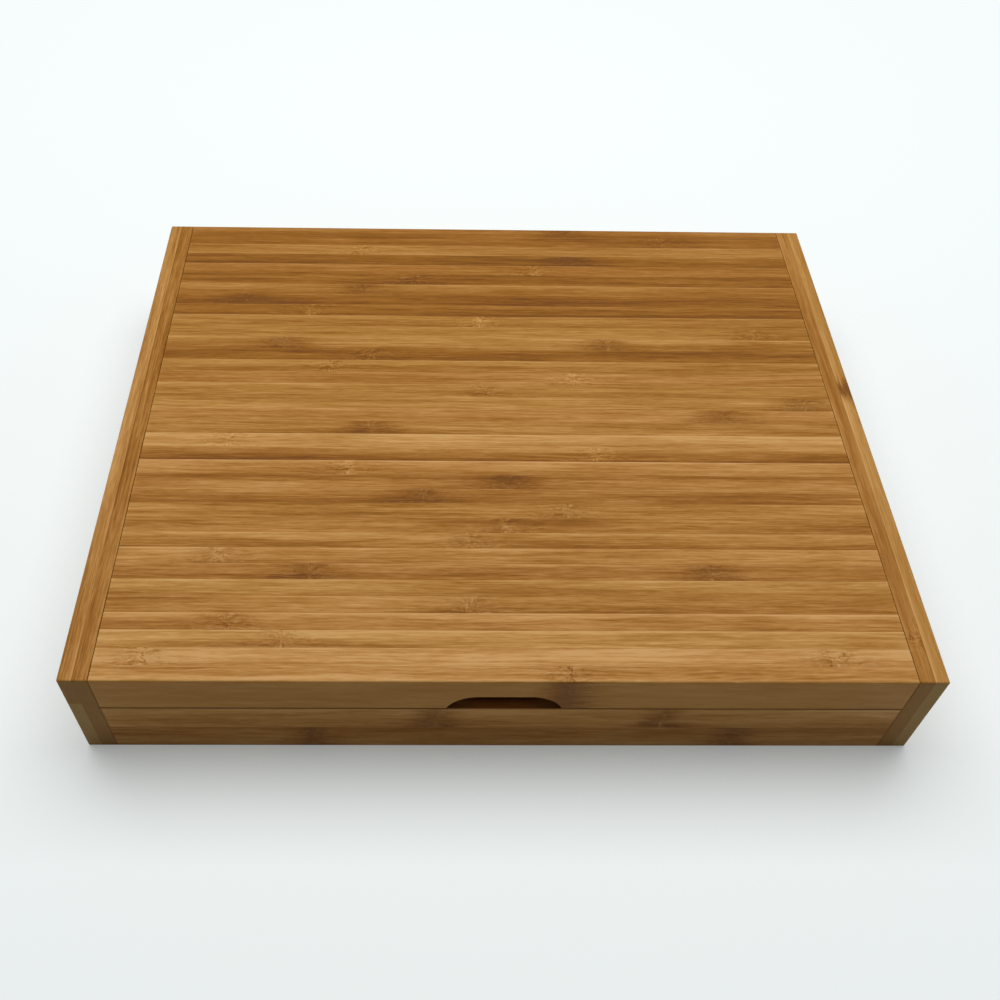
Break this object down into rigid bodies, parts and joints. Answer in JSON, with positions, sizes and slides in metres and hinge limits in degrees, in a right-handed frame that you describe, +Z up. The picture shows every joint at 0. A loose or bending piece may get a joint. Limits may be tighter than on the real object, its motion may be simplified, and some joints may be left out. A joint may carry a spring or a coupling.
{
  "type": "cheese board set",
  "caption": "Shallow bamboo box whose thick hinged lid is a cheese board, lifted by a finger notch, with steel-bladed cheese tools in a routed tray inside.",
  "frame": {"origin": "middle of the footprint, on the surface that the box stands on", "axes": "+X to the right along the lid's grain, from rail to rail; +Y to the hinged back, away from the finger notch; +Z up"},
  "size_m": [0.305, 0.251, 0.047],
  "materials": {
    "lid_bamboo": "oiled, satin",
    "rail_bamboo": "oiled, satin",
    "wall_bamboo": "oiled, satin",
    "panel_bamboo": "sanded, matt",
    "tray_bamboo": "oiled, satin",
    "handle_bamboo": "oiled, satin",
    "dowel_wood": "sanded, matt",
    "blade_steel": "brushed",
    "ferrule_steel": "polished",
    "pin_steel": "plain"
  },
  "bodies": {
    "box": {"left_rail": "rail_bamboo", "right_rail": "rail_bamboo", "front_wall": "wall_bamboo", "back_wall": "wall_bamboo", "base_panel": "panel_bamboo", "corner_dowels": "dowel_wood", "left_hinge_pin": "pin_steel", "right_hinge_pin": "pin_steel", "tool_tray": "tray_bamboo", "spade_blade": "blade_steel", "spade_ferrule": "ferrule_steel", "spade_handle": "handle_bamboo", "pronged_blade": "blade_steel", "pronged_ferrule": "ferrule_steel", "pronged_handle": "handle_bamboo", "flat_blade": "blade_steel", "flat_ferrule": "ferrule_steel", "flat_handle": "handle_bamboo", "fork_tines": "blade_steel", "fork_ferrule": "ferrule_steel", "fork_handle": "handle_bamboo"},
    "lid": {"lid_board": "lid_bamboo"}
  },
  "joints": [
    {"name": "lid_hinge", "type": "hinge", "parent": "box", "child": "lid", "pos_m": [0, 0.1185, 0.0365], "axis": [-1, 0, 0], "range_deg": [0, 100]}
  ]
}
